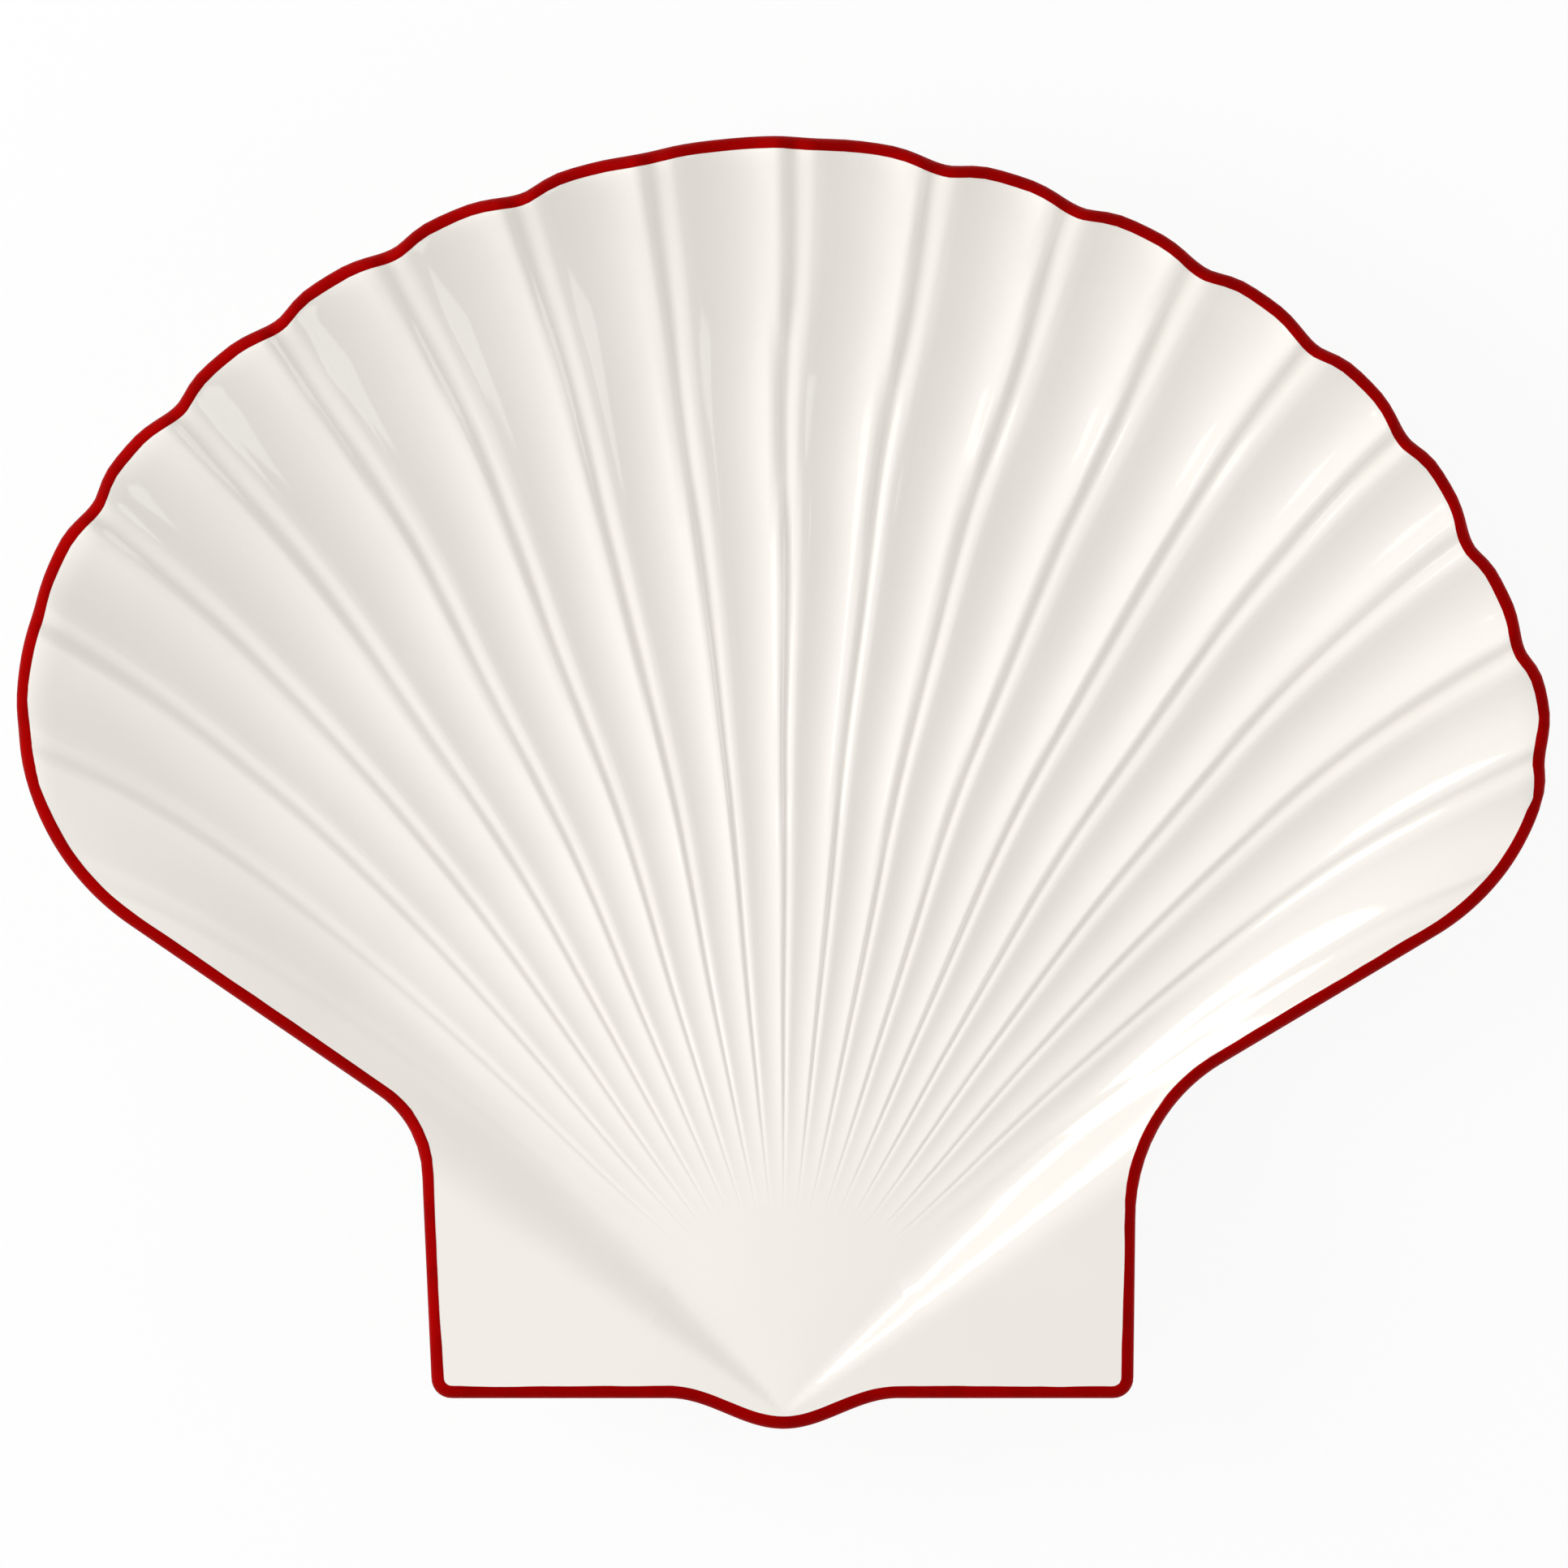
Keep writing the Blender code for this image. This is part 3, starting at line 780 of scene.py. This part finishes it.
class PLATE_OT_mark_surface(bpy.types.Operator):
    """Measure where the enamel line runs and where the creases get their pooled glaze and painted shade
    """

    bl_idname = "plate.mark_surface"
    bl_label = "Mark the surface"

    def execute(self, context):
        form = PlateForm(context.scene.plate_sizes)
        outline = form.plan_grid(0.0)
        ring = outline[0] + [column[-1] for column in outline] + outline[-1]
        ring += [column[0] for column in outline]
        tree = kdtree.KDTree(len(ring))
        for index, (x, y) in enumerate(ring):
            tree.insert((x, y, 0.0), index)
        tree.balance()
        data = bpy.data.objects["plate_body"].data
        enamel = data.attributes.new("enamel", "FLOAT", "POINT")
        crease = data.attributes.new("crease", "FLOAT", "POINT")
        line = context.scene.plate_sizes.enamel_width
        for vert in data.vertices:
            x, y, z = vert.co
            gap = tree.find((x, y, 0.0))[2]
            middle = form.bowl_height(x, y) - form.sizes.wall / 2.0
            if z > middle:
                enamel.data[vert.index].value = line - min(gap, FAR_FROM_RIM)
                # Crease mask for the pooled glaze and the painted crease shade
                crease.data[vert.index].value = form.crease_mask(x, y)
            else:
                enamel.data[vert.index].value = ENAMEL_UNDER - min(gap, FAR_FROM_RIM)
        return {"FINISHED"}


class Signal:
    """A shader socket that takes part in Python expressions."""

    def __init__(self, nodes, socket):
        self.nodes = nodes
        self.socket = socket

    def math(self, operation, *others):
        return self.nodes.add("ShaderNodeMath", {"operation": operation}, self, *others)

    def __add__(self, other):
        return self.math("ADD", other)

    __radd__ = __add__

    def __mul__(self, other):
        return self.math("MULTIPLY", other)

    __rmul__ = __mul__

    def __sub__(self, other):
        return self.math("SUBTRACT", other)

    def __rsub__(self, other):
        return self.nodes.add("ShaderNodeMath", {"operation": "SUBTRACT"}, other, self)

    def clamped(self):
        return self.nodes.add("ShaderNodeClamp", {}, self)


class Nodes:
    """Adds nodes to the tree of a material or the world."""

    def __init__(self, tree):
        self.tree = tree

    def add(self, kind, settings, *values, out=0, **named):
        """Add a node with its settings, then its sockets' values or links, and return a signal."""
        node = self.tree.nodes.new(kind)
        for name, value in settings.items():
            setattr(node, name, value)
        pairs = list(enumerate(values))
        pairs += [(name.replace("_", " "), value) for name, value in named.items()]
        for key, value in pairs:
            if isinstance(value, Signal):
                self.tree.links.new(value.socket, node.inputs[key])
            else:
                node.inputs[key].default_value = value
        return Signal(self, node.outputs[out])

    def attribute(self, name):
        """Read one of the piece's own attributes."""
        return self.add("ShaderNodeAttribute", {"attribute_name": name}, out="Fac")

    def blend(self, factor, first, second):
        """Mix two colours."""
        node = self.tree.nodes.new("ShaderNodeMix")
        node.data_type = "RGBA"
        for key, value in ((0, factor), (6, first), (7, second)):
            if isinstance(value, Signal):
                self.tree.links.new(value.socket, node.inputs[key])
            else:
                node.inputs[key].default_value = value if key == 0 else (*value[:3], 1.0)
        return Signal(self, node.outputs[2])

    def step(self, value, start, end):
        """0 before the start and 1 after the end, smooth between them."""
        settings = {"interpolation_type": "SMOOTHSTEP"}
        return self.add("ShaderNodeMapRange", settings, value, start, end, 0.0, 1.0)

    def noise(self, place, scale, detail=2.0):
        """Soft noise about 0.5."""
        return self.add("ShaderNodeTexNoise", {}, Vector=place, Scale=scale, Detail=detail)

    def cells(self, place, scale, result):
        """Distance from the middles of random cells, or the cells' colours."""
        settings = {"feature": "F1"}
        return self.add("ShaderNodeTexVoronoi", settings, Vector=place, Scale=scale, out=result)

    def link(self, signal, shader, name):
        """Send a signal to one of a shader's sockets."""
        self.tree.links.new(signal.socket, shader.inputs[name])

    def cover(self, factor, under, over):
        """Make the material's surface a mix of two shaders."""
        mix = self.tree.nodes.new("ShaderNodeMixShader")
        self.tree.links.new(factor.socket, mix.inputs[0])
        self.tree.links.new(under, mix.inputs[1])
        self.tree.links.new(over, mix.inputs[2])
        self.tree.links.new(mix.outputs[0], self.tree.nodes["Material Output"].inputs["Surface"])


def new_material(name):
    """A material with a plain Principled shader, and the helper that adds its nodes."""
    material = bpy.data.materials.new(name)
    material.use_nodes = True
    return material, Nodes(material.node_tree), material.node_tree.nodes["Principled BSDF"]


def shaded(colour, share):
    """A darker copy of a colour."""
    return [part * share for part in colour]


def glaze_colour(nodes, place, cloud, finish):
    """Glaze in soft clouds, darker in the creases, partly as pooled glaze and partly as painted shade,
    with a few specks.
    """
    tint = nodes.blend(nodes.step(cloud, *CLOUD_BAND), finish.glaze, shaded(finish.glaze, CLOUD_SHADE))
    # Darken the creases: partly pooled glaze, partly painted shade
    pooled_and_shade = nodes.blend(nodes.attribute("crease") * POOLED_AND_SHADE_SHARE, tint, finish.pooled_and_shade)
    spots = nodes.cells(place, SPECK_SCALE, "Distance")
    tones = nodes.cells(place, SPECK_SCALE, "Color")
    chance = nodes.add("ShaderNodeSeparateColor", {}, tones, out="Red")
    speck = (1.0 - nodes.step(spots, *SPECK_EDGE)) * nodes.step(chance, *SPECK_PICKED)
    return nodes.blend(speck * SPECK_SHARE, pooled_and_shade, SPECK_COLOUR)


def glazed_material(finish):
    """Off-white glaze with the enamel line and the bare foot."""
    material, nodes, shader = new_material("plate_glaze")
    place = nodes.add("ShaderNodeTexCoord", {}, out="Object")
    cloud = nodes.noise(place, CLOUD_SCALE, GRAIN_DETAIL)
    grain = nodes.noise(place, GRAIN_SCALE, GRAIN_DETAIL)
    level = nodes.add("ShaderNodeSeparateXYZ", {}, place, out="Z")
    bare = 1.0 - nodes.step(level + (grain - NOISE_MIDDLE) * BARE_WAVE, *BARE_EDGE)
    clay = nodes.blend(grain, finish.biscuit, shaded(finish.biscuit, CLAY_SHADE))
    nodes.link(nodes.blend(bare, glaze_colour(nodes, place, cloud, finish), clay), shader, "Base Color")
    rough = GLAZE_ROUGHNESS + cloud * CLOUD_ROUGHNESS + bare * BARE_ROUGHNESS
    nodes.link(rough.clamped(), shader, "Roughness")
    shader.inputs["IOR"].default_value = GLAZE_IOR

    brushed = nodes.step(nodes.noise(place, BRUSH_SCALE, BRUSH_DETAIL), *BRUSH_BAND)
    painted = nodes.tree.nodes.new("ShaderNodeBsdfPrincipled")
    painted.inputs["Roughness"].default_value = ENAMEL_ROUGHNESS
    painted.inputs["Specular IOR Level"].default_value = ENAMEL_SPECULAR
    line = nodes.blend(brushed, finish.enamel, shaded(finish.enamel, BRUSH_SHADE))
    nodes.link(line, painted, "Base Color")

    wave = nodes.noise(place, ENAMEL_WAVE_SCALE) - NOISE_MIDDLE
    inside = nodes.attribute("enamel") + wave * ENAMEL_WAVE
    swell = nodes.noise(place, SWELL_SCALE) * SWELL_HEIGHT + grain * GRAIN_HEIGHT
    swell = swell + nodes.step(inside, *ENAMEL_SHOULDER) * ENAMEL_HEIGHT
    bump = nodes.add("ShaderNodeBump", {}, Strength=1.0, Distance=1.0, Height=swell)
    nodes.link(bump, shader, "Normal")
    nodes.link(bump, painted, "Normal")
    nodes.cover(nodes.step(inside, *ENAMEL_EDGE), shader.outputs[0], painted.outputs[0])
    return material


class PLATE_OT_glaze(bpy.types.Operator):
    """Give the body its glaze, hide the imported plate and parent the body to the root empty"""

    bl_idname = "plate.glaze"
    bl_label = "Glaze the plate"

    def execute(self, context):
        body = bpy.data.objects["plate_body"]
        body.data.materials.clear()
        body.data.materials.append(glazed_material(context.scene.plate_finish))
        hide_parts("plate")
        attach(body, "root")
        return {"FINISHED"}


def white_backdrop(nodes, factor_share):
    """How much of a ray from the camera, a mirror or glass sees plain white."""
    path = nodes.tree.nodes.new("ShaderNodeLightPath")
    camera = Signal(nodes, path.outputs["Is Camera Ray"])
    glossy = Signal(nodes, path.outputs["Is Glossy Ray"])
    through = Signal(nodes, path.outputs["Is Transmission Ray"])
    return (camera + glossy + through).clamped() * factor_share


def add_softbox(name, place, target, size, power):
    """A soft rectangular lamp that points at the target."""
    lamp = bpy.data.lights.new(name, "AREA")
    lamp.shape = "RECTANGLE"
    lamp.size, lamp.size_y = size
    lamp.energy = power
    item = bpy.data.objects.new(name, lamp)
    item.location = place
    item.rotation_euler = (Vector(target) - Vector(place)).to_track_quat("-Z", "Y").to_euler()
    item.visible_camera = False
    bpy.context.scene.collection.objects.link(item)
    return item


class PLATE_OT_set_studio(bpy.types.Operator):
    """Set the floor, the lamps, the backdrop and the camera above the plate"""

    bl_idname = "plate.set_studio"
    bl_label = "Set the studio"

    def execute(self, context):
        scene = context.scene
        mesh = bmesh.new()
        bmesh.ops.create_grid(mesh, x_segments=1, y_segments=1, size=FLOOR_SIZE / 2.0)
        bmesh.ops.translate(mesh, verts=mesh.verts, vec=(0.0, 0.0, -FLOOR_DROP))
        floor = finish_piece(mesh, "floor")
        material, nodes, shader = new_material("floor_white")
        shader.inputs["Base Color"].default_value = (*FLOOR_COLOUR, 1.0)
        shader.inputs["Roughness"].default_value = FLOOR_ROUGHNESS
        shader.inputs["Specular IOR Level"].default_value = 0.0
        white = nodes.add("ShaderNodeEmission", {}, (1.0, 1.0, 1.0, 1.0), 1.0)
        nodes.cover(white_backdrop(nodes, FLOOR_WHITE), shader.outputs[0], white.socket)
        floor.data.materials.append(material)

        world = bpy.data.worlds.new("studio_air")
        world.use_nodes = True
        scene.world = world
        air = Nodes(world.node_tree)
        background = world.node_tree.nodes["Background"]
        background.inputs["Color"].default_value = (1.0, 1.0, 1.0, 1.0)
        strength = WORLD_LIGHT + white_backdrop(air, 1.0 - WORLD_LIGHT)
        world.node_tree.links.new(strength.socket, background.inputs["Strength"])

        key = add_softbox("key_softbox", KEY_PLACE, LIT_PLACE, KEY_SIZE, KEY_POWER)
        key.visible_glossy = False
        add_softbox("glint", GLINT_PLACE, LIT_PLACE, GLINT_SIZE, GLINT_POWER)
        add_softbox("side_softbox", SIDE_PLACE, LIT_PLACE, SIDE_SIZE, SIDE_POWER)
        add_softbox("window", WINDOW_PLACE, LIT_PLACE, WINDOW_SIZE, WINDOW_POWER)

        camera = bpy.data.cameras.new("camera_above")
        camera.sensor_width = SENSOR
        camera.lens = SENSOR * (CAMERA_HEIGHT - PICTURE_LEVEL) / PICTURE_WIDTH
        camera.clip_end = FLOOR_SIZE
        item = bpy.data.objects.new("camera_above", camera)
        item.location = (*PICTURE_CENTRE, CAMERA_HEIGHT)
        scene.collection.objects.link(item)
        scene.camera = item
        scene.view_settings.view_transform = "Standard"
        return {"FINISHED"}


class PLATE_PT_panel(bpy.types.Panel):
    """Lists the plate's sizes, colours and steps"""

    bl_idname = "PLATE_PT_panel"
    bl_label = "Scallop plate"
    bl_space_type = "VIEW_3D"
    bl_region_type = "UI"
    bl_category = "Plate"

    def draw(self, context):
        for group in (context.scene.plate_sizes, context.scene.plate_finish):
            for name in group.__annotations__:
                self.layout.prop(group, name)
        for step in STEPS:
            self.layout.operator(step.bl_idname)


STEPS = (
    PLATE_OT_model_body,
    PLATE_OT_model_foot,
    PLATE_OT_mark_surface,
    PLATE_OT_glaze,
    PLATE_OT_set_studio,
)
CLASSES = (ScallopPlateSizes, ScallopPlateFinish) + STEPS + (PLATE_PT_panel,)


def register():
    for item in CLASSES:
        bpy.utils.register_class(item)
    bpy.types.Scene.plate_sizes = PointerProperty(type=ScallopPlateSizes)
    bpy.types.Scene.plate_finish = PointerProperty(type=ScallopPlateFinish)


def unregister():
    del bpy.types.Scene.plate_finish
    del bpy.types.Scene.plate_sizes
    for item in reversed(CLASSES):
        bpy.utils.unregister_class(item)


def main():
    """Register the add-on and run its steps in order."""
    register()
    bpy.ops.plate.model_body()
    bpy.ops.plate.model_foot()
    bpy.ops.plate.mark_surface()
    bpy.ops.plate.glaze()
    bpy.ops.plate.set_studio()


if __name__ == "__main__":
    main()
